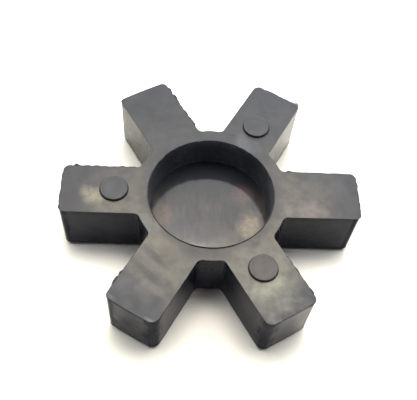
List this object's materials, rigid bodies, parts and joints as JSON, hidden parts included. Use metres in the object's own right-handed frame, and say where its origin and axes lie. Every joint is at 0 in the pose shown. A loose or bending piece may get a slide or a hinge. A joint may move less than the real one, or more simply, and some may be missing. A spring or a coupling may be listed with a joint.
{
  "type": "jaw coupling spider",
  "caption": "Black rubber star insert of a jaw shaft coupling: straight legs cushion the hubs' jaws around a recessed centre web, with low spacer pips.",
  "frame": {"origin": "on the shaft axis, at the middle of the insert's thickness", "axes": "+Z along the shaft axis, out of the deeper recess; +X out through the middle of leg_1; leg_2 to leg_6 follow anticlockwise seen from +Z"},
  "size_m": [0.0536, 0.0504, 0.0124],
  "materials": {
    "nitrile_rubber": "black moulded nitrile rubber, satin, with dull bloom and faint brown and green stains"
  },
  "bodies": {
    "root": {"hub": "nitrile_rubber", "leg_1": "nitrile_rubber", "leg_2": "nitrile_rubber", "leg_3": "nitrile_rubber", "leg_4": "nitrile_rubber", "leg_5": "nitrile_rubber", "leg_6": "nitrile_rubber", "spacer_pips_top": "nitrile_rubber", "spacer_pips_bottom": "nitrile_rubber"}
  },
  "joints": []
}
